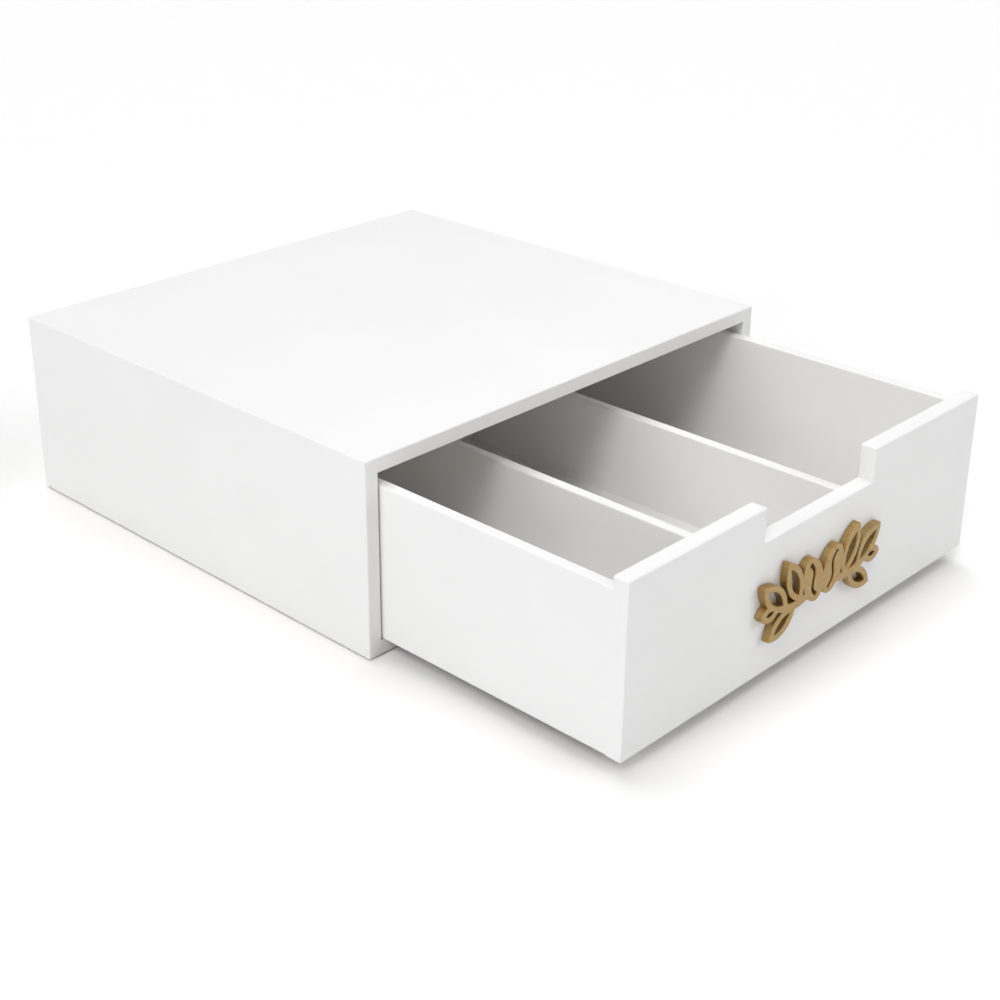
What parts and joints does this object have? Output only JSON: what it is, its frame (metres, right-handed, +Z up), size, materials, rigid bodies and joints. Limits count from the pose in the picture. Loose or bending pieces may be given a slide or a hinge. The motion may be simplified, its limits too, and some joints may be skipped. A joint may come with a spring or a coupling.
{
  "type": "capsule drawer",
  "caption": "Low painted wooden box with one sliding open-topped drawer, divided into long compartments, with a finger notch and a gold cut-out sprig on its front.",
  "frame": {"origin": "centre of the case's underside", "axes": "+Z up, -Y the way the drawer pulls out, +X to the right as seen from the front"},
  "size_m": [0.3, 0.4328, 0.105],
  "materials": {
    "white_paint": "satin white paint on smooth fibreboard",
    "brushed_gold": "brushed gold paint on a cut-out board",
    "nail_steel": "bright drawn steel"
  },
  "bodies": {
    "case": {"case_top": "white_paint", "case_bottom": "white_paint", "case_left_side": "white_paint", "case_right_side": "white_paint", "case_back": "white_paint", "case_top_nail_1": "nail_steel", "case_top_nail_2": "nail_steel", "case_top_nail_3": "nail_steel", "case_top_nail_4": "nail_steel", "case_top_nail_5": "nail_steel", "case_top_nail_6": "nail_steel", "case_bottom_nail_1": "nail_steel", "case_bottom_nail_2": "nail_steel", "case_bottom_nail_3": "nail_steel", "case_bottom_nail_4": "nail_steel", "case_bottom_nail_5": "nail_steel", "case_bottom_nail_6": "nail_steel", "case_back_nail_1": "nail_steel", "case_back_nail_2": "nail_steel", "case_back_nail_3": "nail_steel", "case_back_nail_4": "nail_steel"},
    "drawer": {"drawer_front": "white_paint", "drawer_left_side": "white_paint", "drawer_right_side": "white_paint", "drawer_back": "white_paint", "drawer_bottom": "white_paint", "divider_left": "white_paint", "divider_right": "white_paint", "front_ornament": "brushed_gold", "drawer_front_nail_1": "nail_steel", "drawer_front_nail_2": "nail_steel", "drawer_front_nail_3": "nail_steel", "drawer_front_nail_4": "nail_steel", "drawer_front_nail_5": "nail_steel", "drawer_front_nail_6": "nail_steel", "drawer_back_nail_1": "nail_steel", "drawer_back_nail_2": "nail_steel", "drawer_back_nail_3": "nail_steel", "drawer_back_nail_4": "nail_steel", "drawer_back_nail_5": "nail_steel", "drawer_back_nail_6": "nail_steel", "divider_nail_1": "nail_steel", "divider_nail_2": "nail_steel", "divider_nail_3": "nail_steel", "divider_nail_4": "nail_steel"}
  },
  "joints": [
    {"name": "drawer_slide", "type": "slide", "parent": "case", "child": "drawer", "axis": [0, -1, 0], "range_m": [-0.1485, 0.0995]}
  ]
}
